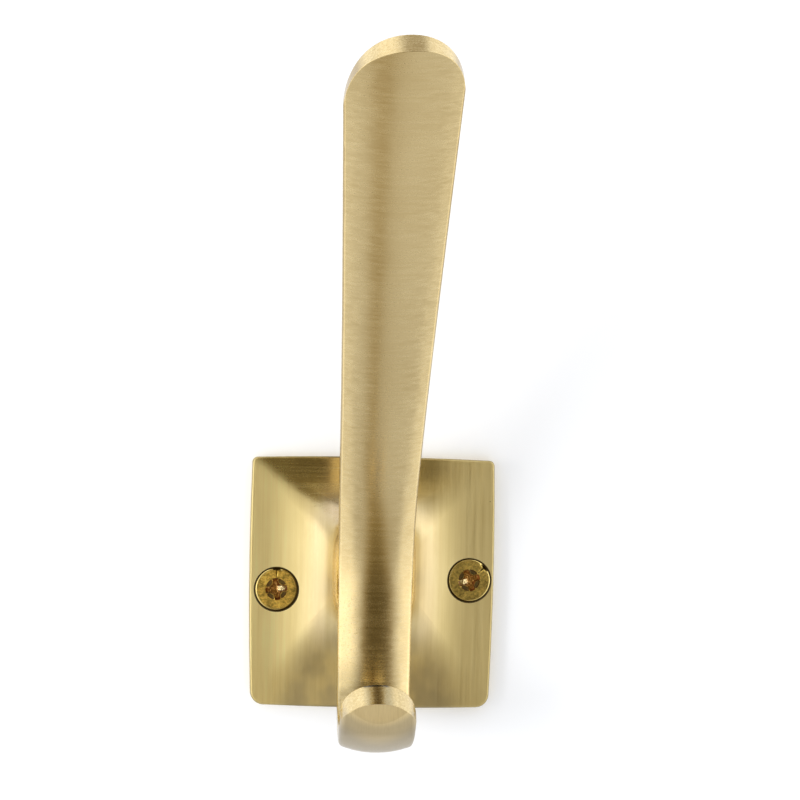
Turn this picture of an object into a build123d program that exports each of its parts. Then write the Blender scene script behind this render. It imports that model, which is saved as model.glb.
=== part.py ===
"""Wall hook: one brass casting with a square base, a leaning blade and a short lower hook.

The wall is the plane Y = 0, +Z is up, +X is to the right and the hook stands out towards -Y.
The origin is the middle of the base's back face. All sizes are millimetres and degrees.
"""

import os
from math import cos, radians, sin, tan

from build123d import *

quarter_turn = 90.0

# Base: a square plate with a straight rim
plate_width = 44.4
plate_height = 45.6
plate_bow = 0.4
plate_taper = 0.4
rim_height = 2.8
rim_rounding = 0.35
top_corner_radius = 1.0
bottom_corner_radius = 2.4

# Base: the hollow flanks that rise from the rim to the neck, and the neck that carries the arm
cove_start_angle = 4.0
cove_end_angle = 80.0
cove_fullness = 1.4
cove_sections = 7
neck_length = 0.2
neck_width = 15.0
neck_height = 19.5
neck_rise = 2.0
neck_bow = 0.5
neck_corner_radius = 5.5
neck_flare = 0.5
neck_inset = 0.2
neck_sink = 4.5

# Arm: the line through the middle of its thickness
stem_offset = 13.0
stem_bottom = -17.1
stem_top = -2.0
hook_bend_radius = 9.0
hook_tip_lean = 35.0
hook_tip_length = 5.2
blade_bend_radius = 41.0
blade_lean = 36.0
blade_length = 86.6

# Arm: its sections at the lower tip, the stem, the blade's root and the blade's end
tip_width = 13.5
tip_thickness = 6.2
tip_inner_crown = 1.0
tip_outer_crown = 1.0
tip_edge_radius = 1.2
stem_width = 13.0
stem_thickness = 6.0
stem_inner_crown = 1.5
stem_outer_crown = 1.5
stem_edge_radius = 1.0
root_width = 14.3
root_thickness = 5.8
root_inner_crown = 1.7
root_outer_crown = 1.8
root_edge_radius = 0.8
blade_width = 21.0
blade_thickness = 5.4
blade_inner_crown = 1.7
blade_outer_crown = 2.2
blade_edge_radius = 0.4

# Arm: the round outline of its two ends, and the flat ground on the outside of the lower tip
end_trim = 0.5
end_fullness = 0.64
end_overlap = 0.05
blade_end_left_length = 13.2
blade_end_right_length = 9.6
blade_end_offset = 1.8
tip_end_length = 6.0
tip_end_offset = 0.0
facet_length = 3.8
facet_angle = 22.0

# Screws: countersunk wood screws with a cross recess, and the holes that they sit in
left_hole_margin = 4.9
left_hole_rise = -1.5
right_hole_margin = 4.45
right_hole_rise = 0.65
hole_clearance = 0.3
seat_clearance = 0.05
head_rise = 0.2
head_radius = 3.8
head_land = 0.2
head_edge = 0.12
head_angle = 90.0
shank_radius = 1.6
thread_radius = 2.0
thread_length = 22.0
point_length = 4.0
recess_span = 4.0
recess_wing = 1.15
recess_depth = 2.0
recess_floor_span = 1.7
recess_floor_wing = 0.7
recess_turns = (8.0, 20.0)

# Places that follow from these sizes
stem_back = stem_offset - stem_thickness / 2
neck_end = stem_back + neck_sink
cove_depth = stem_back - neck_length - rim_height
head_level = rim_height + head_rise
head_slope = tan(radians(head_angle / 2))
hole_places = (
    (left_hole_margin - plate_width / 2, left_hole_rise),
    (plate_width / 2 - right_hole_margin, right_hole_rise),
)
side_plane = Plane(origin=(0, 0, 0), x_dir=(0, -1, 0), z_dir=(-1, 0, 0))


def flank_section(level, width, height, rise, bow, taper, top_radius, bottom_radius):
    """A four-sided section of the base, with bowed sides, a narrower foot and rounded corners."""
    side = width / 2 - bow + taper / 2
    foot = side - taper
    low = rise - height / 2 + bow
    high = rise + height / 2 - bow
    with BuildSketch(Plane.XZ.offset(level)) as section:
        with BuildLine():
            SagittaArc((-foot, low), (foot, low), -bow)
            SagittaArc((foot, low), (side, high), -bow)
            SagittaArc((side, high), (-side, high), -bow)
            SagittaArc((-side, high), (-foot, low), -bow)
        make_face()
        fillet(section.vertices().group_by(Axis.Y)[0], bottom_radius)
        fillet(section.vertices().group_by(Axis.Y)[-1], top_radius)
    return section.sketch


def cove_section(share):
    """A section of the hollow flanks, at a share of the way round their curve from rim to neck."""
    first = radians(cove_start_angle)
    last = radians(cove_end_angle)
    angle = first + (last - first) * share
    inset = (sin(angle) - sin(first)) / (sin(last) - sin(first))
    lift = ((cos(first) - cos(angle)) / (cos(first) - cos(last))) ** cove_fullness
    return flank_section(
        rim_height + cove_depth * lift,
        plate_width + (neck_width - plate_width) * inset,
        plate_height + (neck_height - plate_height) * inset,
        neck_rise * inset,
        plate_bow + (neck_bow - plate_bow) * inset,
        plate_taper * (1 - inset),
        top_corner_radius + (neck_corner_radius - top_corner_radius) * inset,
        bottom_corner_radius + (neck_corner_radius - bottom_corner_radius) * inset,
    )


def arm_section(edge, place, width, thickness, inner_crown, outer_crown, edge_radius):
    """A section across the arm's line: its inner and outer faces crowned, its four edges rounded."""
    half = width / 2
    inner = inner_crown - thickness / 2
    outer = thickness / 2 - outer_crown
    with BuildSketch(Plane(origin=edge @ place, x_dir=(1, 0, 0), z_dir=edge % place)) as section:
        with BuildLine():
            SagittaArc((-half, inner), (half, inner), -inner_crown)
            Line((half, inner), (half, outer))
            SagittaArc((half, outer), (-half, outer), -outer_crown)
            Line((-half, outer), (-half, inner))
        make_face()
        fillet(section.vertices(), edge_radius)
    return section.sketch


def end_waste(point, outward, width, taper, lengths, offset):
    """What is cut off an end of the arm: all outside two full quarter curves that meet at its apex."""
    apex = -end_trim
    shoulders = []
    with BuildSketch(Plane(origin=point, x_dir=(1, 0, 0), z_dir=Vector(1, 0, 0).cross(outward))) as waste:
        with BuildLine():
            for side, length in zip((-1, 1), lengths):
                shoulder = apex - length
                corner = side * (width / 2 + taper * shoulder + end_overlap)
                handle = offset + end_fullness * (corner - offset)
                rise = shoulder + end_fullness * length
                Bezier((corner, shoulder), (corner, rise), (handle, apex), (offset, apex))
                shoulders.append((corner, shoulder))
            Polyline(
                shoulders[0],
                (-width, shoulders[0][1]),
                (-width, width),
                (width, width),
                (width, shoulders[1][1]),
                shoulders[1],
            )
        make_face()
    return waste.sketch


def head_plane(across, up):
    """The plane of the top of a screw's head, at its place on the base."""
    return Plane(origin=(across, -head_level, up), x_dir=(1, 0, 0), z_dir=(0, -1, 0))


# The arm's line, as distance from the wall and height: round the hook, up the stem, out along the blade
tip_out = sin(radians(hook_tip_lean))
tip_up = cos(radians(hook_tip_lean))
tip_start = (stem_offset + hook_bend_radius * (1 + tip_up), stem_bottom - hook_bend_radius * tip_out)
tip_end = (tip_start[0] + hook_tip_length * tip_out, tip_start[1] + hook_tip_length * tip_up)
with BuildLine(side_plane) as arm_line:
    tip_run = Line(tip_end, tip_start)
    hook_bend = JernArc(tip_run @ 1, tip_run % 1, hook_bend_radius, hook_tip_lean - 2 * quarter_turn)
    stem_run = Line(hook_bend @ 1, (stem_offset, stem_top))
    blade_bend = JernArc(stem_run @ 1, stem_run % 1, blade_bend_radius, -blade_lean)
    blade_run = Line(blade_bend @ 1, blade_bend @ 1 + (blade_bend % 1) * blade_length)

tip_size = (tip_width, tip_thickness, tip_inner_crown, tip_outer_crown, tip_edge_radius)
stem_size = (stem_width, stem_thickness, stem_inner_crown, stem_outer_crown, stem_edge_radius)
root_size = (root_width, root_thickness, root_inner_crown, root_outer_crown, root_edge_radius)
blade_size = (blade_width, blade_thickness, blade_inner_crown, blade_outer_crown, blade_edge_radius)
arm_sections = [
    arm_section(tip_run, 0, *tip_size),
    arm_section(stem_run, 0, *stem_size),
    arm_section(blade_run, 0, *root_size),
    arm_section(blade_run, 1, *blade_size),
]

with BuildPart() as hook_body:
    # The base: a straight rim, hollow flanks and a neck that ends inside the stem
    rim_outline = flank_section(
        0, plate_width, plate_height, 0, plate_bow, plate_taper, top_corner_radius, bottom_corner_radius
    )
    extrude(rim_outline, amount=rim_height)
    flanks = [cove_section(step / (cove_sections - 1)) for step in range(cove_sections)]
    neck = flank_section(
        neck_end,
        stem_width - 2 * neck_inset,
        neck_height + 2 * neck_flare,
        neck_rise,
        neck_bow,
        0,
        neck_corner_radius,
        neck_corner_radius,
    )
    loft(flanks + [neck])
    fillet(hook_body.edges().filter_by_position(Axis.Y, -rim_height, -rim_height), rim_rounding)

    # The arm, trimmed to a round outline at both ends
    sweep(sections=arm_sections, path=arm_line.wires()[0], multisection=True)
    blade_taper = (blade_width - root_width) / 2 / blade_length
    blade_lengths = (blade_end_left_length, blade_end_right_length)
    blade_waste = end_waste(
        blade_run @ 1, blade_run % 1, blade_width, blade_taper, blade_lengths, blade_end_offset
    )
    extrude(blade_waste, amount=blade_thickness, both=True, mode=Mode.SUBTRACT)
    tip_lengths = (tip_end_length, tip_end_length)
    tip_waste = end_waste(tip_run @ 0, -(tip_run % 0), tip_width, 0, tip_lengths, tip_end_offset)
    extrude(tip_waste, amount=tip_thickness, both=True, mode=Mode.SUBTRACT)

    # The flat on the outside of the lower tip
    facet_start = (
        tip_end[0] - (end_trim + facet_length) * tip_out + tip_thickness / 2 * tip_up,
        tip_end[1] - (end_trim + facet_length) * tip_up - tip_thickness / 2 * tip_out,
    )
    with BuildSketch(side_plane):
        with Locations(Location((*facet_start, 0), (0, 0, 1), -facet_angle)):
            Rectangle(tip_thickness, 2 * tip_width, align=(Align.MIN, Align.CENTER))
    extrude(amount=tip_width, both=True, mode=Mode.SUBTRACT)

    # Countersunk holes for the screws
    with Locations(*[head_plane(*place) for place in hole_places]):
        CounterSinkHole(
            thread_radius + hole_clearance,
            head_radius + head_land * head_slope + seat_clearance,
            counter_sink_angle=head_angle,
        )

with BuildPart() as wood_screws:
    for place, turn in zip(hole_places, recess_turns):
        top = head_plane(*place)
        with BuildSketch(Plane(origin=top.origin)):
            with BuildLine():
                Polyline(
                    (0, 0),
                    (head_radius - head_edge, 0),
                    (head_radius, head_edge),
                    (head_radius, head_land),
                    (shank_radius, head_land + (head_radius - shank_radius) / head_slope),
                    (shank_radius, head_level),
                    (thread_radius, head_level),
                    (thread_radius, head_level + thread_length - point_length),
                    (0, head_level + thread_length),
                    close=True,
                )
            make_face()
        revolve(axis=Axis(top.origin, (0, 1, 0)))
        with BuildSketch(top):
            Rectangle(recess_span, recess_wing, rotation=turn)
            Rectangle(recess_wing, recess_span, rotation=turn)
        with BuildSketch(top.offset(-recess_depth)):
            Rectangle(recess_floor_span, recess_floor_wing, rotation=turn)
            Rectangle(recess_floor_wing, recess_floor_span, rotation=turn)
        loft(ruled=True, mode=Mode.SUBTRACT)

os.makedirs("parts", exist_ok=True)
hook_body.part.label = "hook_body"
export_step(hook_body.part, "parts/hook_body.step")
wood_screws.part.label = "wood_screws"
export_step(wood_screws.part, "parts/wood_screws.step")
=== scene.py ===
"""Looks for the wall hook: a brushed brass casting and two wood screws on a white wall, in studio light.

Sizes are in millimetres and degrees. X is across, Z is up, and out is the distance from the wall, along -Y.
"""

import math
from collections import namedtuple

import bpy
from mathutils import Matrix, Vector


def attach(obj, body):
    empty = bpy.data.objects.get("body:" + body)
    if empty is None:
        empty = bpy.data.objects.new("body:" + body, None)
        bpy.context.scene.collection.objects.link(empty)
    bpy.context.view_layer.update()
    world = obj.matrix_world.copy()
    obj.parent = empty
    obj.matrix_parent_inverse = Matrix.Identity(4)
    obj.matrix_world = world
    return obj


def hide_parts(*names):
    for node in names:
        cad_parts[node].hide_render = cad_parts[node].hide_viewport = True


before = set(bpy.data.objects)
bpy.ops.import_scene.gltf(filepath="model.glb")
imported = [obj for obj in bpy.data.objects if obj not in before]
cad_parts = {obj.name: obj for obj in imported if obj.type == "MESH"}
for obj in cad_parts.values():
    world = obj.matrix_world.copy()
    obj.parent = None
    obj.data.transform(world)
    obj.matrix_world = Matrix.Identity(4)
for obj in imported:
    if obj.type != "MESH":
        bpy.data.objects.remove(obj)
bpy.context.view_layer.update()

MM = 0.001
scene = bpy.context.scene

# Screws: where their axes are, the turns of their recesses, the side on which the recess's floor slopes up,
# and the direction in which a bite is missing from the rim. Then the place of their heads' tops along Y, the
# heads' radius, and how far from the axis the bite begins
Screw = namedtuple("Screw", "across up recess_turn slope_side bite_turn")
SCREWS = (
    Screw(across=-17.3, up=-1.5, recess_turn=8.0, slope_side=1, bite_turn=90.0),
    Screw(across=17.75, up=0.65, recess_turn=20.0, slope_side=-1, bite_turn=40.0),
)
HEAD_LEVEL = -3.0
HEAD_RADIUS = 3.8
BITE_REACH = 3.42


# Shader helpers

# The values that a noise mostly has
NOISE_LOW = 0.3
NOISE_HIGH = 0.7


class Tree:
    """Makes and links shader nodes; an input can be a number, a colour or another node's output."""

    def __init__(self, tree):
        self.tree = tree
        tree.nodes.clear()

    def node(self, kind, inputs=None, **settings):
        made = self.tree.nodes.new(kind)
        for key, value in settings.items():
            setattr(made, key, value)
        for key, value in (inputs or {}).items():
            self.put(made.inputs[key], value)
        return made

    def put(self, socket, value):
        if isinstance(value, bpy.types.NodeSocket):
            self.tree.links.new(value, socket)
        else:
            socket.default_value = value

    def math(self, operation, a, b=0.0):
        return self.node("ShaderNodeMath", {0: a, 1: b}, operation=operation).outputs[0]

    def product(self, first, *others):
        for other in others:
            first = self.math("MULTIPLY", first, other)
        return first

    def total(self, first, *others):
        for other in others:
            first = self.math("ADD", first, other)
        return first

    def minus(self, a, b):
        return self.math("SUBTRACT", a, b)

    def rest(self, mask):
        """1 where the mask is 0, and 0 where it is 1."""
        return self.minus(1.0, mask)

    def most(self, a, b):
        return self.math("MAXIMUM", a, b)

    def size(self, value):
        return self.math("ABSOLUTE", value)

    def spread(self, value, low, high, start=0.0, end=1.0, kind="LINEAR"):
        """Start to end, as value goes from low to high, and level outside that."""
        made = self.node(
            "ShaderNodeMapRange",
            {"Value": value, "From Min": low, "From Max": high, "To Min": start, "To Max": end},
            interpolation_type=kind,
        )
        return made.outputs["Result"]

    def step(self, value, low, high, start=0.0, end=1.0):
        """The same with soft ends."""
        return self.spread(value, low, high, start, end, "SMOOTHSTEP")

    def within(self, value, low, high, edge):
        """1 from low to high, and 0 beyond a soft edge."""
        return self.product(self.step(value, low - edge, low), self.step(value, high, high + edge, 1.0, 0.0))

    def swing(self, noise, low, high):
        """Low to high, over the values that a noise mostly has."""
        return self.spread(noise, NOISE_LOW, NOISE_HIGH, low, high)

    def curve(self, value, points):
        """A piecewise linear curve through points of value and level."""
        first, last = points[0][0], points[-1][0]
        low = min(level for place, level in points)
        high = max(level for place, level in points)
        made = self.node("ShaderNodeValToRGB", {"Fac": self.spread(value, first, last)})
        stops = made.color_ramp.elements
        while len(stops) < len(points):
            stops.new(0.5)
        for stop, (place, level) in zip(stops, points):
            stop.position = (place - first) / (last - first)
        for stop, (place, level) in zip(stops, points):
            share = (level - low) / (high - low)
            stop.color = (share, share, share, 1)
        return self.spread(made.outputs["Color"], 0.0, 1.0, low, high)

    def blend(self, share, a, b):
        """Number a where share is 0, number b where it is 1."""
        return self.node("ShaderNodeMix", {0: share, 2: a, 3: b}, data_type="FLOAT").outputs[0]

    def tint(self, share, a, b, mode="MIX"):
        """Colour a where share is 0, colour b where it is 1."""
        made = self.node("ShaderNodeMix", {0: share, 6: a, 7: b}, data_type="RGBA", blend_type=mode)
        return made.outputs[2]

    def painted(self, colour, paints):
        """The colour under paints, one after the other; each paint has its share."""
        for share, paint in paints:
            colour = self.tint(share, colour, paint)
        return colour

    def shaded(self, colour, factors):
        """The colour times factors, one after the other; each factor has its share."""
        for share, factor in factors:
            colour = self.tint(share, colour, factor, "MULTIPLY")
        return colour

    def noise(self, vector, scale, detail, roughness):
        made = self.node(
            "ShaderNodeTexNoise",
            {"Vector": vector, "Scale": scale, "Detail": detail, "Roughness": roughness},
        )
        return made.outputs[0]

    def streaks(self, vector, stretch, detail, roughness):
        """A noise with a scale of its own across, out and up."""
        return self.noise(self.stretch(vector, stretch), 1.0, detail, roughness)

    def stretch(self, vector, factors):
        return self.node("ShaderNodeVectorMath", {0: vector, 1: factors}, operation="MULTIPLY").outputs[0]

    def place(self):
        """Object coordinates in millimetres: the vector, across, out from the wall, and up."""
        scaled = self.stretch(self.node("ShaderNodeTexCoord").outputs["Object"], (1 / MM, 1 / MM, 1 / MM))
        across, inward, up = self.node("ShaderNodeSeparateXYZ", {0: scaled}).outputs
        return scaled, across, self.product(inward, -1.0), up

    def length(self, a, b):
        return self.math("SQRT", self.total(self.product(a, a), self.product(b, b)))

    def facing(self):
        """The surface's direction: across, into the wall, and up."""
        normal = self.node("ShaderNodeNewGeometry").outputs["Normal"]
        return tuple(self.node("ShaderNodeSeparateXYZ", {0: normal}).outputs)


def new_material(name):
    material = bpy.data.materials.new(name)
    material.use_nodes = True
    return material, Tree(material.node_tree)


# The casting's material

# Places on the casting. Two numbers are where a soft edge begins and ends, and two more are the levels at its
# ends. Of three numbers, a mask is full between the first and the second, and the third is the width of its
# soft edges. FACING is a part of the surface's direction; the others are distances
ARM_OUT = (9.4, 10.4)
BASE_OUT = (0.1, 0.4)
TIP_OUT = (22.0, 26.0)
TIP_UP = (-8.0, -12.0)
TIP_END_FACING = (0.1, 0.3)
TIP_FRONT_FACING = (0.3, 0.1)
TIP_SHADE_ACROSS = (-1.6, 1.6, 1.6)
UNDER_BOW = -0.07
UNDER_FIRST = (-22.4, -24.6, 0.0, 0.5)
UNDER_SECOND = (-24.4, -28.0, 0.0, 0.45)
UNDER_OUT = (18.0, 24.0)
BLADE_END_UP = (78.0, 82.0)
BLADE_END_FACING = (0.4, 0.6)
LIT_UP = (30.0, 78.0)
EDGE_FACING = (0.42, 0.66)
EDGE_SHIFT = (40.0, 66.0, 0.17, 0.0)
EDGE_UP = (2.0, 10.0)
FOOT_UP = (-11.5, -17.5)
FOOT_ACROSS = (0.5, -3.0)
FOOT_OUT = (10.0, 19.0, 2.0)
PLATE_HALF_WIDTH = 22.2
PLATE_HALF_HEIGHT = 22.8
LEFT_TO_RIGHT = (-2.0, 2.0)
LEFT_HIP_SLOPE = -1.2
RIGHT_HIP_SLOPE = -0.25
RIGHT_HIP_SHIFT = -8.4
TOP_HIP = (-2.6, 3.4)
TOP_UP = (5.0, 10.0)
TOP_SHARES = (1.0, 0.6)
LOW_HIP_SLOPE = -0.35
LOW_HIP = (3.0, 10.0)
LOW_UP = (-8.0, -16.0)
LIT_MARGIN_ACROSS = (-12.0, -17.0)
SHADED_BESIDE_ACROSS = (-8.0, -2.0, 3.0)
NECK_ACROSS = (9.2, 7.8)
NECK_OUT = (5.0, 11.0, 1.5)
NECK_UP = (12.0, 9.0)
FLANK_OUT = (3.4, 5.5)

# Noises: their scale in a millimetre, or three scales across, out and up; their detail; their roughness
BRUSHED_ACROSS = ((0.055, 1.9, 1.9), 4.0, 0.66)
BRUSHED_UP = ((5.0, 0.8, 0.06), 4.0, 0.62)
STROKES = ((1.3, 0.4, 0.05), 2.0, 0.5)
CLOUDS = ((0.22, 0.2, 0.14), 2.0, 0.5)
PATCHES = (0.11, 2.0, 0.5)
GRAIN = (2.4, 2.0, 0.6)
SPECKS = (3.0, 2.0, 0.7)
TIP_LINE_NOISE = (1.6, 3.0, 0.6)

# Pits in the casting, and small dark specks low on the stem
PIT_SCALE = 0.42
PIT_CHOICE = (0.93, 0.94)
PIT_REACH = (0.07, 0.03)
SPECK_LEVEL = (0.58, 0.68)
SPECK_UP = (-14.0, -3.0, 3.0)
SPECK_ACROSS = (-6.6, -3.2, 1.0)
SPECK_OUT = (12.0, 19.0, 2.0)

# A dark line on the inner edge of the lower tip, painted shade on the rim's edge, and painted shadow with
# grime round the screws
TIP_LINE_OUT = 29.5
TIP_LINE_UP = -16.6
TIP_LINE_REACH = (0.75, 0.3)
TIP_LINE_ACROSS = (-2.4, 1.2, 1.0)
TIP_LINE_LEVEL = (0.3, 0.46)
TIP_LINE_SHARE = 0.9
RIM_SHADE_OUT = (3.1, 2.7)
RIM_SHADE_FACING = (-0.7, 0.3, 0.28)
RIM_SHADE_SHARE = 0.62
RING_DROP = 0.06
RING_REACH = (3.5, 4.06, 0.08)
SHADE_AND_GRIME_OUT = (1.2, 4.0, 0.4)

# How far the brass is towards its light colour, and what changes that
SHADE_MIDDLE = 0.52
BASE_LINE_SHADE = 0.09
CROSSED_LINE_SHADE = 0.2
PATCH_SHADE = 0.08
STROKE_SHADE = 0.12
END_SHADES = (-0.4, 0.3)
SPECK_SHADE = -0.4
BRASS_DARK = (0.70, 0.53, 0.245, 1)
BRASS_LIGHT = (0.97, 0.80, 0.455, 1)

# Factors that make a place lighter or darker
BASE_FACTOR = (1.03, 1.06, 0.95, 1)
# Painted light on the left margin
LIT_MARGIN_FACTOR = (1.15, 1.15, 1.12, 1)
# Painted shade on the top facet beside the stem
SHADED_BESIDE_FACTOR = (0.72, 0.7, 0.78, 1)
# Painted shade on the neck's sides
NECK_SHADE_FACTOR = (0.84, 0.835, 0.78, 1)
# A paler painted sheen on the flanks, for their bright highlights
FLANK_SHEEN_FACTOR = (0.97, 0.97, 1.16, 1)
TIP_FRONT_FACTOR = (1.12, 1.14, 1.2, 1)
# Painted shade at the stem's foot on the left
FOOT_SHADE_FACTOR = (0.68, 0.68, 0.66, 1)
# Painted light on the blade towards its end
LIT_FACTOR = (1.12, 1.12, 1.12, 1)
# Painted shade in the middle of the lower tip's end
TIP_SHADE_FACTOR = (0.6, 0.62, 0.66, 1)
# Painted shade on the arm's edges
EDGE_SHADE_FACTOR = (0.5, 0.47, 0.44, 1)

# Colours over the brass, and the shares that are less than full
# Painted shade: grey on the underside for the shaded wall that it reflects
UNDER_SHADE_COLOUR = (0.385, 0.335, 0.25, 1)
DULL_COLOUR = (0.50, 0.415, 0.235, 1)
DULL_SHARES = (0.3, 0.66, 0.2, 0.8)
PIT_COLOUR = (0.22, 0.15, 0.06, 1)
PIT_SHARE = 0.6
# Painted shade on the rim's edge, painted shadow with grime round the screws, and dark grime in the screws'
# bite and scar
SHADE_AND_GRIME_COLOUR = (0.035, 0.02, 0.008, 1)
SHADE_AND_GRIME_SHARE = 0.93
# The dark line on the lower tip's inner edge
TIP_LINE_COLOUR = (0.06, 0.066, 0.09, 1)

# The surface: roughness, the heights of the bump, and the rounding of sharp edges
BASE_ROUGHNESS = 0.41
CROSSED_ROUGHNESS = 0.25
TIP_FRONT_ROUGHNESS = 0.45
BRUSH_ROUGHNESS = 0.05
GRAIN_ROUGHNESS = 0.02
BRUSH_HEIGHTS = (0.55, 1.0)
GRAIN_HEIGHTS = (0.25, 2.6)
PIT_HEIGHT = -1.5
SPECK_HEIGHT = -0.8
BUMP_STRENGTH = 0.22
BUMP_DISTANCE = 0.02
EDGE_ROUNDING = 0.18
EDGE_SAMPLES = 6
BRASS_ANISOTROPY = 0.75


def satin_brass():
    material, t = new_material("satin_brass")
    at, x, out, z = t.place()
    turn_x, turn_in, turn_up = t.facing()
    arm = t.step(out, *ARM_OUT)
    base = t.product(t.rest(arm), t.step(out, *BASE_OUT))

    # The lower tip: its end, its front and the hook's underside; and the blade's end
    low_tip = t.product(t.step(out, *TIP_OUT), t.step(z, *TIP_UP))
    tip_end = t.product(low_tip, t.step(turn_up, *TIP_END_FACING))
    tip_front = t.product(low_tip, t.step(turn_up, *TIP_FRONT_FACING))
    bowed = t.total(z, t.product(x, x, UNDER_BOW))
    under = t.total(t.step(bowed, *UNDER_FIRST), t.step(bowed, *UNDER_SECOND))
    under = t.product(under, t.step(out, *UNDER_OUT))
    blade_end = t.product(t.step(z, *BLADE_END_UP), t.step(turn_up, *BLADE_END_FACING))
    ends = t.most(tip_end, blade_end)

    # The base's top facet and its foot, inside the lines that run in from its corners
    side_gap = t.minus(PLATE_HALF_WIDTH, t.size(x))
    top_gap = t.minus(PLATE_HALF_HEIGHT, z)
    low_gap = t.total(z, PLATE_HALF_HEIGHT)
    left_hip = t.total(side_gap, t.product(top_gap, LEFT_HIP_SLOPE))
    right_hip = t.total(side_gap, t.product(top_gap, RIGHT_HIP_SLOPE), RIGHT_HIP_SHIFT)
    top_hip = t.blend(t.step(x, *LEFT_TO_RIGHT), left_hip, right_hip)
    top_share = t.step(x, *LEFT_TO_RIGHT, *TOP_SHARES)
    top = t.product(t.step(top_hip, *TOP_HIP), t.step(z, *TOP_UP), base, top_share)
    low_hip = t.total(side_gap, t.product(low_gap, LOW_HIP_SLOPE))
    low = t.product(t.step(low_hip, *LOW_HIP), t.step(z, *LOW_UP), base)

    # Brush lines run across the arm and the top facet, and up the tip's front and the rest of the base
    crossed = t.most(arm, top)
    crosswise = t.minus(crossed, tip_front)
    brush = t.blend(crosswise, t.streaks(at, *BRUSHED_UP), t.streaks(at, *BRUSHED_ACROSS))
    strokes = t.streaks(at, *STROKES)
    patches = t.noise(at, *PATCHES)
    grain = t.noise(at, *GRAIN)

    cells = t.node("ShaderNodeTexVoronoi", {"Vector": at, "Scale": PIT_SCALE})
    lot = t.node("ShaderNodeSeparateColor", {0: cells.outputs["Color"]}).outputs[0]
    pits = t.product(t.step(cells.outputs["Distance"], *PIT_REACH), t.step(lot, *PIT_CHOICE))
    low_stem = t.product(t.within(z, *SPECK_UP), t.within(x, *SPECK_ACROSS), t.within(out, *SPECK_OUT))
    specks = t.product(t.step(t.noise(at, *SPECKS), *SPECK_LEVEL), low_stem)

    # A dark line along the lower tip's inner edge
    edge_gap = t.length(t.minus(out, TIP_LINE_OUT), t.minus(z, TIP_LINE_UP))
    tip_line = t.product(t.step(edge_gap, *TIP_LINE_REACH), t.within(x, *TIP_LINE_ACROSS))
    tip_line = t.product(tip_line, t.step(t.noise(at, *TIP_LINE_NOISE), *TIP_LINE_LEVEL), TIP_LINE_SHARE)
    # Painted shade on the rim's sides, and painted shadow with grime in the gap round each screw
    shade_and_grime = t.product(t.step(out, *RIM_SHADE_OUT), t.within(turn_in, *RIM_SHADE_FACING), RIM_SHADE_SHARE)
    for screw in SCREWS:
        reach = t.length(t.minus(x, screw.across), t.minus(z, screw.up - RING_DROP))
        shade_and_grime = t.most(shade_and_grime, t.within(reach, *RING_REACH))
    shade_and_grime = t.product(shade_and_grime, t.within(out, *SHADE_AND_GRIME_OUT))

    shade = t.total(
        SHADE_MIDDLE,
        t.product(t.swing(brush, -1.0, 1.0), t.blend(crossed, BASE_LINE_SHADE, CROSSED_LINE_SHADE)),
        t.swing(patches, -PATCH_SHADE, PATCH_SHADE),
        t.product(t.swing(strokes, -STROKE_SHADE, STROKE_SHADE), base),
        t.product(t.swing(grain, *END_SHADES), ends),
        t.product(specks, SPECK_SHADE),
    )
    colour = t.tint(shade, BRASS_DARK, BRASS_LIGHT)

    # The left margin is lighter, with painted light; the places beside the stem and the neck's sides are
    # darker, with painted shade; the flanks get a paler painted sheen; the foot is duller, and the underside
    # is painted grey for the shade that it reflects
    lit_margin = t.product(base, t.step(x, *LIT_MARGIN_ACROSS))
    shaded_beside = t.product(top, t.within(x, *SHADED_BESIDE_ACROSS))
    neck = t.product(t.step(t.size(x), *NECK_ACROSS), t.within(out, *NECK_OUT), t.step(z, *NECK_UP))
    flank = t.product(base, t.step(out, *FLANK_OUT))
    colour = t.shaded(
        colour,
        (
            (base, BASE_FACTOR),
            (lit_margin, LIT_MARGIN_FACTOR),
            (shaded_beside, SHADED_BESIDE_FACTOR),
            (neck, NECK_SHADE_FACTOR),
            (flank, FLANK_SHEEN_FACTOR),
            (tip_front, TIP_FRONT_FACTOR),
        ),
    )
    # Painted shade on the underside
    colour = t.tint(under, colour, UNDER_SHADE_COLOUR)

    # Painted shade: the stem's foot is dark on the left, the lower tip's end is dark in its middle and the
    # arm's edges are dark. Painted light: the blade is lighter towards its end
    foot = t.product(t.step(z, *FOOT_UP), t.step(x, *FOOT_ACROSS), t.within(out, *FOOT_OUT))
    lit = t.product(arm, t.step(z, *LIT_UP), t.rest(blade_end))
    shaded_tip_middle = t.product(tip_end, t.within(x, *TIP_SHADE_ACROSS))
    sideways = t.minus(t.size(turn_x), t.spread(z, *EDGE_SHIFT))
    edges = t.product(arm, t.step(sideways, *EDGE_FACING), t.step(z, *EDGE_UP), t.rest(blade_end))
    factors = ((foot, FOOT_SHADE_FACTOR), (lit, LIT_FACTOR), (shaded_tip_middle, TIP_SHADE_FACTOR), (edges, EDGE_SHADE_FACTOR))
    colour = t.shaded(colour, factors)
    dull = t.product(low, t.step(t.streaks(at, *CLOUDS), *DULL_SHARES))
    colour = t.painted(
        colour,
        (
            (dull, DULL_COLOUR),
            (t.product(pits, PIT_SHARE), PIT_COLOUR),
            # Painted shade and shadow with grime
            (t.product(shade_and_grime, SHADE_AND_GRIME_SHARE), SHADE_AND_GRIME_COLOUR),
            (tip_line, TIP_LINE_COLOUR),
        ),
    )

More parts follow.
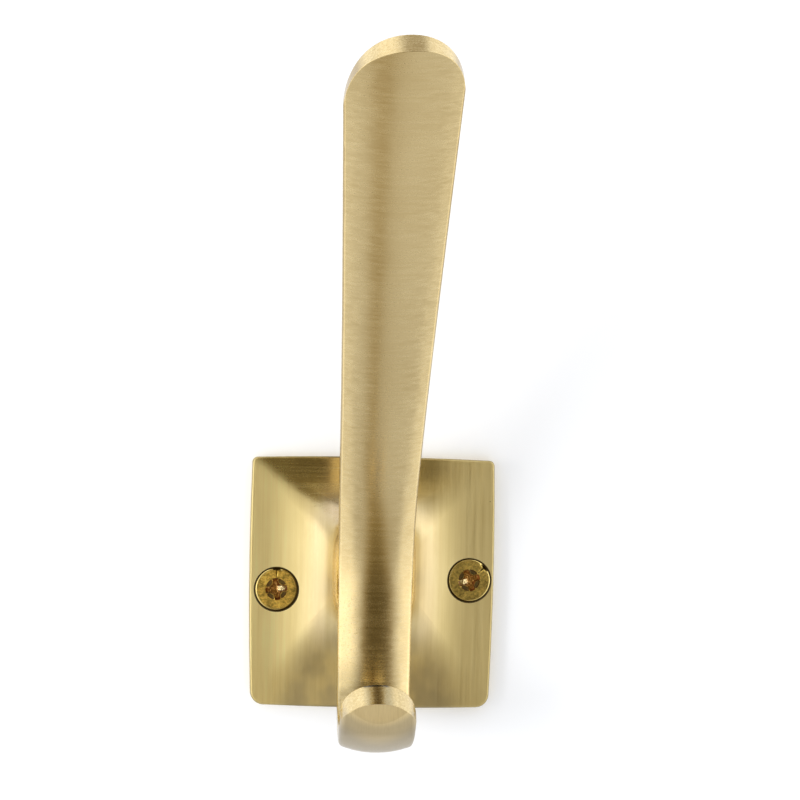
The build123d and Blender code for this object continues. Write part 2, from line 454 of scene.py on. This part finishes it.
    rough = t.total(
        t.blend(tip_front, t.blend(crossed, BASE_ROUGHNESS, CROSSED_ROUGHNESS), TIP_FRONT_ROUGHNESS),
        t.swing(brush, -BRUSH_ROUGHNESS, BRUSH_ROUGHNESS),
        t.swing(grain, -GRAIN_ROUGHNESS, GRAIN_ROUGHNESS),
    )
    height = t.total(
        t.product(brush, t.blend(crossed, *BRUSH_HEIGHTS)),
        t.product(grain, t.blend(ends, *GRAIN_HEIGHTS)),
        t.product(pits, PIT_HEIGHT),
        t.product(specks, SPECK_HEIGHT),
    )
    rounded = t.node("ShaderNodeBevel", {"Radius": EDGE_ROUNDING * MM}, samples=EDGE_SAMPLES)
    bump = t.node(
        "ShaderNodeBump",
        {
            "Strength": BUMP_STRENGTH,
            "Distance": BUMP_DISTANCE * MM,
            "Height": height,
            "Normal": rounded.outputs[0],
        },
    )
    tangent = t.node("ShaderNodeCombineXYZ", {0: t.rest(crosswise), 1: 0.0, 2: crosswise})
    shader = t.node(
        "ShaderNodeBsdfPrincipled",
        {
            "Base Color": colour,
            "Metallic": 1.0,
            "Roughness": rough,
            "Anisotropic": BRASS_ANISOTROPY,
            "Tangent": tangent.outputs[0],
            "Normal": bump.outputs[0],
        },
    )
    t.node("ShaderNodeOutputMaterial", {"Surface": shader.outputs[0]})
    return material


# The screws' material: places and noises are given as for the casting

SCUFFS = ((1.9, 4.0, 2.4), 4.0, 0.7)
STAINS = (0.9, 3.0, 0.6)
UNEVENNESS = (1.5, 2.0, 0.5)
SCREW_SHADE = 0.5
SCUFF_SHADE = 0.6
STAIN_SHADE = 0.45
SCREW_DARK = (0.36, 0.265, 0.07, 1)
SCREW_LIGHT = (1.0, 0.74, 0.20, 1)

# The left screw is yellower and rougher
LEFT_ACROSS = (1.0, -1.0)
LEFT_FACTOR = (1.12, 1.05, 0.86, 1)
LEFT_ROUGHNESS = 0.2

# The recess: painted shade over it and on its wall, a painted copper reflection on its floor, and a painted
# highlight on the part of the floor that shines
RECESS_REACH = (2.3, 2.1)
RECESS_TOP_OUT = (2.93, 2.85)
RECESS_END_OUT = (0.9, 1.1)
# Painted shade over the recess
RECESS_SHADE_COLOUR = (0.17, 0.12, 0.06, 1)
RECESS_SHADE_SHARE = 0.85
RECESS_WALL_FACING = (-0.85, -0.55)
# Painted shade, darker, on the recess's wall
RECESS_WALL_SHADE_COLOUR = (0.30, 0.11, 0.04, 1)
RECESS_WALL_SHADE_SHARE = 0.8
FLOOR_OUT = (2.62, 2.5)
# Painted copper reflection on the recess's floor
FLOOR_REFLECTION_COLOUR = (0.86, 0.46, 0.14, 1)
FLOOR_ROUGHNESS = 0.18
FLOOR_HEIGHT = 9.0
SHINE_OUT = (1.66, 1.74)
# Painted highlight on the part of the floor that shines
SHINE_HIGHLIGHT_COLOUR = (1.0, 0.8, 0.42, 1)

# The head's rim, with a painted highlight, the bite that is missing from it and the scar that runs in from
# the bite
RIM_REACH = (3.58, 3.78, 0.12)
RIM_OUT = (2.6, 2.8)
# Painted highlight on the head's rim
RIM_HIGHLIGHT_COLOUR = (1.0, 0.79, 0.3, 1)
RIM_HIGHLIGHT_SHARE = 0.85
RIM_ROUGHNESS = 0.2
BITE_ALONG = (BITE_REACH - 0.04, BITE_REACH + 0.1)
BITE_ASIDE = (-0.55, 0.55, 0.4)
BITE_SHARE = 0.9
SCAR_ALONG = (2.2, 3.2, 0.2)
SCAR_ASIDE = (-0.03, 0.05, 0.1)
SCAR_SHARE = 0.75

SCUFF_ROUGHNESS = (0.5, 0.34)
SCREW_BUMP_STRENGTH = 0.5
SCREW_BUMP_DISTANCE = 0.05


def screw_brass():
    material, t = new_material("screw_brass")
    at, x, out, z = t.place()
    turn_in = t.facing()[1]
    scuffs = t.streaks(at, *SCUFFS)
    stains = t.noise(at, *STAINS)
    shade = t.total(
        SCREW_SHADE,
        t.swing(scuffs, -SCUFF_SHADE, SCUFF_SHADE),
        t.swing(stains, -STAIN_SHADE, STAIN_SHADE),
    )
    left = t.step(x, *LEFT_ACROSS)
    colour = t.shaded(t.tint(shade, SCREW_DARK, SCREW_LIGHT), ((left, LEFT_FACTOR),))

    near = 0.0
    rim_highlight = 0.0
    bitten = 0.0
    for screw in SCREWS:
        off_x = t.minus(x, screw.across)
        off_z = t.minus(z, screw.up)
        reach = t.length(off_x, off_z)
        near = t.most(near, t.step(reach, *RECESS_REACH))
        rim_highlight = t.most(rim_highlight, t.within(reach, *RIM_REACH))
        cosine = math.cos(math.radians(screw.bite_turn))
        sine = math.sin(math.radians(screw.bite_turn))
        along = t.total(t.product(off_x, cosine), t.product(off_z, sine))
        aside = t.total(t.product(off_x, -sine), t.product(off_z, cosine))
        bite = t.product(t.step(along, *BITE_ALONG), t.within(aside, *BITE_ASIDE))
        scar = t.product(t.within(along, *SCAR_ALONG), t.within(aside, *SCAR_ASIDE), SCAR_SHARE)
        bitten = t.most(bitten, t.most(bite, scar))

    recess = t.product(near, t.step(out, *RECESS_TOP_OUT), t.step(out, *RECESS_END_OUT))
    wall = t.product(recess, t.step(turn_in, *RECESS_WALL_FACING))
    floor = t.product(recess, t.step(out, *FLOOR_OUT), t.rest(wall))
    rim_highlight = t.product(rim_highlight, t.step(out, *RIM_OUT))
    colour = t.painted(
        colour,
        (
            # Painted shade in the recess and on its wall
            (t.product(recess, RECESS_SHADE_SHARE), RECESS_SHADE_COLOUR),
            (t.product(wall, RECESS_WALL_SHADE_SHARE), RECESS_WALL_SHADE_COLOUR),
            # Painted copper reflection on the floor
            (floor, FLOOR_REFLECTION_COLOUR),
            # Painted highlight where the floor shines
            (t.product(floor, t.step(out, *SHINE_OUT)), SHINE_HIGHLIGHT_COLOUR),
            # Painted highlight on the head's rim
            (t.product(rim_highlight, RIM_HIGHLIGHT_SHARE), RIM_HIGHLIGHT_COLOUR),
            (t.product(bitten, BITE_SHARE), SHADE_AND_GRIME_COLOUR),
        ),
    )
    height = t.total(scuffs, t.product(t.noise(at, *UNEVENNESS), floor, FLOOR_HEIGHT))
    bump = t.node(
        "ShaderNodeBump",
        {"Strength": SCREW_BUMP_STRENGTH, "Distance": SCREW_BUMP_DISTANCE * MM, "Height": height},
    )
    rough = t.total(t.swing(scuffs, *SCUFF_ROUGHNESS), t.product(left, LEFT_ROUGHNESS))
    rough = t.blend(rim_highlight, t.blend(floor, rough, FLOOR_ROUGHNESS), RIM_ROUGHNESS)
    shader = t.node(
        "ShaderNodeBsdfPrincipled",
        {"Base Color": colour, "Metallic": 1.0, "Roughness": rough, "Normal": bump.outputs[0]},
    )
    t.node("ShaderNodeOutputMaterial", {"Surface": shader.outputs[0]})
    return material


# The casting keeps its CAD mesh

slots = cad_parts["hook_body"].data.materials
if slots:
    slots[0] = satin_brass()
else:
    slots.append(satin_brass())


# The screws: heads with a cross recess, shanks and threads

SEGMENTS = 160
SHARP_ANGLE = 42.0

# The recess: its four wings, the webs between them, and its floor, which slopes up on one side
WING_REACH = 2.02
WING_HALF = 0.5
WEB_SWELL = 0.45
WEB_TURN = (17.0, 27.0)
LEAST_SINE = 0.01
RECESS_DEPTH = 1.35
FLOOR_SHARE = 0.84
FLOOR_SLOPE = 0.36
SLOPE_START = 0.15
SLOPE_LENGTH = 0.95
SLOPE_SIDES = (-0.6, -0.42)
FLOOR_STEPS = (0.08, 0.2, 0.35, 0.5, 0.7, 0.9, 1.0)
RECESS_WALL_STEPS = (0.02, 0.25, 0.5, 0.75, 0.97, 1.0)

# The recess's lip and the dimples in the webs: where they begin and end, and the width of their outer edge
LIP_WIDTH = 0.08
DIMPLE_DEPTH = 0.32
DIMPLE_REACH = 1.98
DIMPLE_START = 0.15
DIMPLE_STOP = 0.2
DIMPLE_END = 0.25
DIMPLE_EDGE = 0.1

# The flat of the head, its rounded rim (inset and drop) and the cone under it
FLAT_START = 0.3
FLAT_STEPS = (0.1, 0.24, 0.38, 0.52, 0.66, 0.78, 0.88, 0.95, 1.0)
RIM_ROUNDING = 0.24
RIM_STEPS = ((0.16, 0.02), (0.08, 0.06), (0.02, 0.13), (0.0, 0.19))
RIM_DENT_SHARE = 0.6
HEAD_LAND = 0.2
CONE_STEP = 0.4
SHANK_RADIUS = 1.6

# Wear of the rim: a bite, a scar that runs in from it, and a burr
BITE_DEPTH = 0.5
BITE_EDGE = 0.1
BITE_SPREAD = 0.75
SCAR_DEPTH = 0.2
SCAR_START = (2.1, 2.7)
SCAR_SPREAD = 0.1
BURR_HEIGHT = 0.16
BURR_ASIDE = -0.3
BURR_WIDTH = 0.16
BURR_INSET = 0.25
BURR_LENGTH = 0.3
BURR_LIMIT = 0.15

# The thread: its core, ridge, pitch and point
THREAD_SEGMENTS = 40
THREAD_STEPS = 176
CORE_RADIUS = 1.3
THREAD_RADIUS = 2.0
THREAD_LENGTH = 22.0
THREAD_GROWTH = 0.8
RIDGE_HALF = 0.22
PITCH = 1.8
POINT_LENGTH = 4.0
LEAST_TAPER = 0.02


def mound(spot, middle, spread):
    """A soft bump of height 1 at the middle."""
    return math.exp(-(((spot - middle) / spread) ** 2))


def smooth(value, low, high):
    """0 to 1 with soft ends, as value goes from low to high."""
    share = min(max((value - low) / (high - low), 0.0), 1.0)
    return share * share * (3 - 2 * share)


def turned(x, z, turn):
    """A point's distances along a direction and to the left of it."""
    cosine = math.cos(math.radians(turn))
    sine = math.sin(math.radians(turn))
    return x * cosine + z * sine, z * cosine - x * sine


def head_dents(x, z, bite_turn):
    """How far a worn place of a head lies below its flat top."""
    along, aside = turned(x, z, bite_turn)
    bite = BITE_DEPTH * mound(aside, 0.0, BITE_SPREAD)
    bite *= smooth(along, BITE_REACH - BITE_EDGE, BITE_REACH + BITE_EDGE)
    scar = SCAR_DEPTH * mound(aside, 0.0, SCAR_SPREAD) * smooth(along, *SCAR_START)
    burr = BURR_HEIGHT * mound(aside, BURR_ASIDE, BURR_WIDTH)
    burr *= mound(along, BITE_REACH - BURR_INSET, BURR_LENGTH)
    return max(bite + scar - burr, -BURR_LIMIT)


def head_rings(screw):
    """Rings of points (across, up, depth below the head's top), from the recess's floor to the shank."""
    rings = []
    spots = []
    for step in range(SEGMENTS):
        angle = 2 * math.pi * step / SEGMENTS
        local = abs((angle - math.radians(screw.recess_turn) + math.pi / 4) % (math.pi / 2) - math.pi / 4)
        edge = WING_HALF / max(math.sin(local), LEAST_SINE) + WEB_SWELL * (local / (math.pi / 4)) ** 2
        web = smooth(math.degrees(local), *WEB_TURN)
        spots.append((angle, min(WING_REACH, edge), web))

    def add(radius_at, depth_at):
        """One ring; what lies deeper than the head's land is kept inside its cone."""
        ring = []
        for angle, reach, web in spots:
            radius = radius_at(reach)
            x, z = radius * math.cos(angle), radius * math.sin(angle)
            depth = depth_at(x, z, web)
            fit = min(1.0, (HEAD_RADIUS - max(depth - HEAD_LAND, 0.0)) / radius)
            ring.append((x * fit, z * fit, depth))
        rings.append(ring)

    def floor_depth(x, z, web):
        along, aside = turned(x, z, screw.recess_turn)
        climb = min(max(screw.slope_side * along - SLOPE_START, 0.0), SLOPE_LENGTH)
        return RECESS_DEPTH - FLOOR_SLOPE * climb * smooth(-abs(aside), *SLOPE_SIDES)

    def dimple_depth(x, z, web):
        return DIMPLE_DEPTH * web

    def flat_depth(x, z, web):
        return head_dents(x, z, screw.bite_turn)

    def level(depth):
        return lambda x, z, web: depth

    for share in FLOOR_STEPS:
        add(lambda reach: FLOOR_SHARE * share * reach, floor_depth)
    for share in RECESS_WALL_STEPS:
        add(
            lambda reach: reach * (FLOOR_SHARE + (1 - FLOOR_SHARE) * share),
            lambda x, z, web: (1 - share) * floor_depth(x * FLOOR_SHARE, z * FLOOR_SHARE, web),
        )
    add(lambda reach: reach + LIP_WIDTH, level(0.0))
    add(lambda reach: reach + DIMPLE_START, dimple_depth)
    add(lambda reach: max(DIMPLE_REACH - DIMPLE_EDGE, reach + DIMPLE_STOP), dimple_depth)
    add(lambda reach: max(DIMPLE_REACH, reach + DIMPLE_END), level(0.0))
    inner = WING_REACH + FLAT_START
    outer = HEAD_RADIUS - RIM_ROUNDING
    for share in FLAT_STEPS:
        add(lambda reach: inner + (outer - inner) * share, flat_depth)
    for inset, drop in RIM_STEPS:
        add(
            lambda reach: HEAD_RADIUS - inset,
            lambda x, z, web: RIM_DENT_SHARE * max(flat_depth(x, z, web), 0.0) + drop,
        )
    add(lambda reach: HEAD_RADIUS - CONE_STEP, level(HEAD_LAND + CONE_STEP))
    add(lambda reach: SHANK_RADIUS, level(HEAD_LAND + HEAD_RADIUS - SHANK_RADIUS))
    return rings


def thread_rings():
    """The same for the thread, which begins at the wall."""
    start = -HEAD_LEVEL
    rings = []
    for step in range(THREAD_STEPS + 1):
        depth = start + THREAD_LENGTH * step / THREAD_STEPS
        taper = max(min((start + THREAD_LENGTH - depth) / POINT_LENGTH, 1.0), LEAST_TAPER)
        grown = min((depth - start) / THREAD_GROWTH, 1.0)
        core = CORE_RADIUS + (SHANK_RADIUS - CORE_RADIUS) * (1 - grown)
        ring = []
        for place in range(THREAD_SEGMENTS):
            phase = (depth / PITCH - place / THREAD_SEGMENTS) % 1.0
            ridge = max(1.0 - abs(phase - 0.5) / RIDGE_HALF, 0.0) * grown
            radius = (core + (THREAD_RADIUS - core) * ridge) * taper
            angle = 2 * math.pi * place / THREAD_SEGMENTS
            ring.append((radius * math.cos(angle), radius * math.sin(angle), depth))
        rings.append(ring)
    return rings


def screw_piece():
    points = []
    faces = []

    def skin(rings, screw):
        """Faces between the rings, and a cap on each end."""
        count = len(rings[0])
        first = len(points)
        last = first + (len(rings) - 1) * count
        for ring in rings:
            for x, z, depth in ring:
                points.append(((screw.across + x) * MM, (HEAD_LEVEL + depth) * MM, (screw.up + z) * MM))
        for here in range(first, last, count):
            for place in range(count):
                after = (place + 1) % count
                faces.append((here + place, here + after, here + count + after, here + count + place))
        faces.append(tuple(reversed(range(first, first + count))))
        faces.append(tuple(range(last, last + count)))

    for screw in SCREWS:
        skin(head_rings(screw), screw)
        skin(thread_rings(), screw)
    mesh = bpy.data.meshes.new("brass_wood_screws")
    mesh.from_pydata(points, [], faces)
    mesh.validate()
    mesh.shade_smooth()
    mesh.set_sharp_from_angle(angle=math.radians(SHARP_ANGLE))
    mesh.materials.append(screw_brass())
    made = bpy.data.objects.new("brass_wood_screws", mesh)
    scene.collection.objects.link(made)
    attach(made, "root")
    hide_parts("wood_screws")


screw_piece()


# Stage: the pale wall that the hook is fixed to

WALL_WHITE = (0.9, 0.915, 0.945, 1)
WALL_GLOW = 0.05
WALL_HALF = 150.0
WALL_GAP = 0.3
WALL_MIDDLE = 33.0
TOUCH_LENGTH = 0.6


def wall_white():
    """Plain white that keeps the object's shadow; clear from behind, and to a surface that lies on it."""
    material, t = new_material("wall_white")
    diffuse = t.node("ShaderNodeBsdfDiffuse", {"Color": WALL_WHITE})
    path = t.node("ShaderNodeLightPath").outputs
    seen = t.most(path["Is Camera Ray"], path["Is Glossy Ray"])
    glow = t.node("ShaderNodeEmission", {"Strength": t.product(seen, WALL_GLOW)})
    front = t.node("ShaderNodeAddShader", {0: diffuse.outputs[0], 1: glow.outputs[0]})
    behind = t.node("ShaderNodeNewGeometry").outputs["Backfacing"]
    short = t.math("LESS_THAN", path["Ray Length"], TOUCH_LENGTH * MM)
    open_to = t.most(behind, t.product(path["Is Glossy Ray"], short))
    clear = t.node("ShaderNodeBsdfTransparent")
    both = t.node("ShaderNodeMixShader", {0: open_to, 1: front.outputs[0], 2: clear.outputs[0]})
    t.node("ShaderNodeOutputMaterial", {"Surface": both.outputs[0]})
    return material


def wall_sheet():
    """An upright sheet that faces the front."""
    half = WALL_HALF * MM
    mesh = bpy.data.meshes.new("wall")
    corners = [(-half, 0, -half), (half, 0, -half), (half, 0, half), (-half, 0, half)]
    mesh.from_pydata(corners, [], [(0, 1, 2, 3)])
    mesh.materials.append(wall_white())
    made = bpy.data.objects.new("wall", mesh)
    made.location = (0.0, WALL_GAP * MM, WALL_MIDDLE * MM)
    scene.collection.objects.link(made)


wall_sheet()


# Light: bright to the left and right, darker around the camera and above

# Curves by height of direction, from straight down at -1 to straight up at 1: where the dark middle is,
# its half width, the width over which it turns bright, and the levels of the middle and of the sides
LIGHT_CENTRE = (
    (-1.0, -0.17), (-0.93, -0.15), (-0.8, -0.02), (-0.6, 0.03), (-0.36, 0.05), (-0.05, 0.11), (1.0, 0.04),
)
LIGHT_HALF = (
    (-1.0, 0.03), (-0.36, 0.04), (-0.2, 0.14), (-0.05, 0.22), (0.2, 0.24), (0.6, 0.2), (0.9, 0.1), (1.0, 0.1),
)
LIGHT_SLOPE = (
    (-1.0, 0.14), (-0.92, 0.14), (-0.8, 0.25), (-0.6, 0.3), (-0.36, 0.4), (-0.2, 0.5), (-0.05, 0.55),
    (0.5, 0.5), (0.85, 0.15), (1.0, 0.15),
)
LIGHT_MIDDLE = (
    (-1.0, 0.4), (-0.93, 0.39), (-0.8, 0.31), (-0.6, 0.23), (-0.36, 0.17), (-0.05, 0.08), (0.2, 0.12),
    (0.5, 0.22), (0.8, 0.4), (1.0, 0.48),
)
LIGHT_FLANK = (
    (-1.0, 0.6), (-0.9, 0.6), (-0.8, 0.55), (-0.6, 0.52), (-0.36, 0.52), (-0.2, 1.3), (-0.05, 1.85),
    (0.2, 1.85), (0.5, 1.55), (0.8, 1.3), (1.0, 1.2),
)

# Places by direction, as for the casting: light from the right and the upper left is weaker, there is more of
# it low down at the far left and right, and behind the wall it is plain white
RIGHT_SIDE = (-0.1, 0.1)
RIGHT_UP = (-0.6, -0.2)
RIGHT_SHARE = 0.88
UPPER_LEFT_SIDE = (0.05, -0.1)
UPPER_LEFT_UP = (0.3, 0.62, 0.14)
UPPER_LEFT_SHARE = 0.55
BELOW_UP = (-0.16, -0.36)
BELOW_LEFT = (-0.38, -0.64, 0.0, 0.5)
BELOW_RIGHT = (0.48, 0.72, 0.0, 0.55)
REAR_IN = (-0.02, 0.2)
REAR_UP = (0.85, 0.65)
REAR_LEVEL = 1.0
TONE_LEVEL = (0.2, 0.62)
DIM_TONE = (1.0, 0.77, 0.36, 1)
BRIGHT_TONE = (1.0, 0.99, 0.97, 1)
WHITE = (1, 1, 1, 1)
EVEN_LEVEL = 0.95
WHITE_LEVEL = 1.0


def studio_world():
    """Shaped light for reflections, even light for the wall, and white for the camera."""
    world = bpy.data.worlds.new("studio")
    world.use_nodes = True
    scene.world = world
    t = Tree(world.node_tree)
    direction = t.node("ShaderNodeTexCoord").outputs["Generated"]
    dx, dy, dz = t.node("ShaderNodeSeparateXYZ", {0: direction}).outputs
    side = t.minus(dx, t.curve(dz, LIGHT_CENTRE))
    away = t.math("DIVIDE", t.minus(t.size(side), t.curve(dz, LIGHT_HALF)), t.curve(dz, LIGHT_SLOPE))
    right = t.product(t.step(side, *RIGHT_SIDE), t.step(dz, *RIGHT_UP))
    upper_left = t.product(t.within(dz, *UPPER_LEFT_UP), t.step(side, *UPPER_LEFT_SIDE))
    flank = t.product(
        t.curve(dz, LIGHT_FLANK),
        t.spread(right, 0.0, 1.0, 1.0, RIGHT_SHARE),
        t.spread(upper_left, 0.0, 1.0, 1.0, UPPER_LEFT_SHARE),
    )
    level = t.blend(t.step(away, 0.0, 1.0), t.curve(dz, LIGHT_MIDDLE), flank)
    rims = t.total(t.step(dx, *BELOW_LEFT), t.step(dx, *BELOW_RIGHT))
    level = t.total(level, t.product(t.step(dz, *BELOW_UP), rims))
    rear = t.product(t.step(dy, *REAR_IN), t.step(dz, *REAR_UP))
    level = t.blend(rear, level, REAR_LEVEL)
    tone = t.tint(t.step(level, *TONE_LEVEL), DIM_TONE, BRIGHT_TONE)
    studio = t.node("ShaderNodeBackground", {"Color": tone, "Strength": level}).outputs[0]
    even = t.node("ShaderNodeBackground", {"Color": WHITE, "Strength": EVEN_LEVEL}).outputs[0]
    white = t.node("ShaderNodeBackground", {"Color": WHITE, "Strength": WHITE_LEVEL}).outputs[0]
    path = t.node("ShaderNodeLightPath").outputs
    lit = t.node("ShaderNodeMixShader", {0: path["Is Diffuse Ray"], 1: studio, 2: even}).outputs[0]
    both = t.node("ShaderNodeMixShader", {0: path["Is Camera Ray"], 1: lit, 2: white}).outputs[0]
    t.node("ShaderNodeOutputWorld", {"Surface": both})


studio_world()


# Lamp

LAMP_PLACE = (-850.0, -650.0, -40.0)
LAMP_AIM = (0.0, 0.0, 20.0)
LAMP_SIZE = 500.0
LAMP_WATTS = 5.0


def key_lamp():
    """A soft lamp at the left, which gives the object its shadow on the wall."""
    data = bpy.data.lights.new("key_lamp", "AREA")
    data.shape = "DISK"
    data.size = LAMP_SIZE * MM
    data.energy = LAMP_WATTS
    lamp = bpy.data.objects.new("key_lamp", data)
    lamp.location = Vector(LAMP_PLACE) * MM
    lamp.rotation_euler = (Vector(LAMP_AIM) * MM - lamp.location).to_track_quat("-Z", "Y").to_euler()
    lamp.visible_glossy = False
    scene.collection.objects.link(lamp)


key_lamp()


# Camera: the photograph's view, which is turned a little to the right and rolled a little

CAMERA_YAW = 3.8
CAMERA_ROLL = 1.1
CAMERA_AIM = (4.7, 0.0, 33.2)
CAMERA_DISTANCE = 700.0
CLIP_START = 50.0
SENSOR_WIDTH = 36.0
FOCAL_PIXELS = 3836
PHOTO_PIXELS = 800


def photo_camera():
    yaw = math.radians(CAMERA_YAW)
    roll = math.radians(CAMERA_ROLL)
    ahead = Vector((math.sin(yaw), math.cos(yaw), 0.0))
    level_right = Vector((math.cos(yaw), -math.sin(yaw), 0.0))
    level_up = Vector((0.0, 0.0, 1.0))
    right = level_right * math.cos(roll) + level_up * math.sin(roll)
    up = level_up * math.cos(roll) - level_right * math.sin(roll)
    data = bpy.data.cameras.new("photo_camera")
    data.sensor_fit = "HORIZONTAL"
    data.sensor_width = SENSOR_WIDTH
    data.lens = SENSOR_WIDTH * FOCAL_PIXELS / PHOTO_PIXELS
    data.clip_start = CLIP_START * MM
    camera = bpy.data.objects.new("photo_camera", data)
    turn = Matrix((right, up, -ahead)).transposed().to_4x4()
    camera.matrix_world = Matrix.Translation((Vector(CAMERA_AIM) - ahead * CAMERA_DISTANCE) * MM) @ turn
    scene.collection.objects.link(camera)
    scene.camera = camera


photo_camera()
scene.view_settings.view_transform = "Standard"
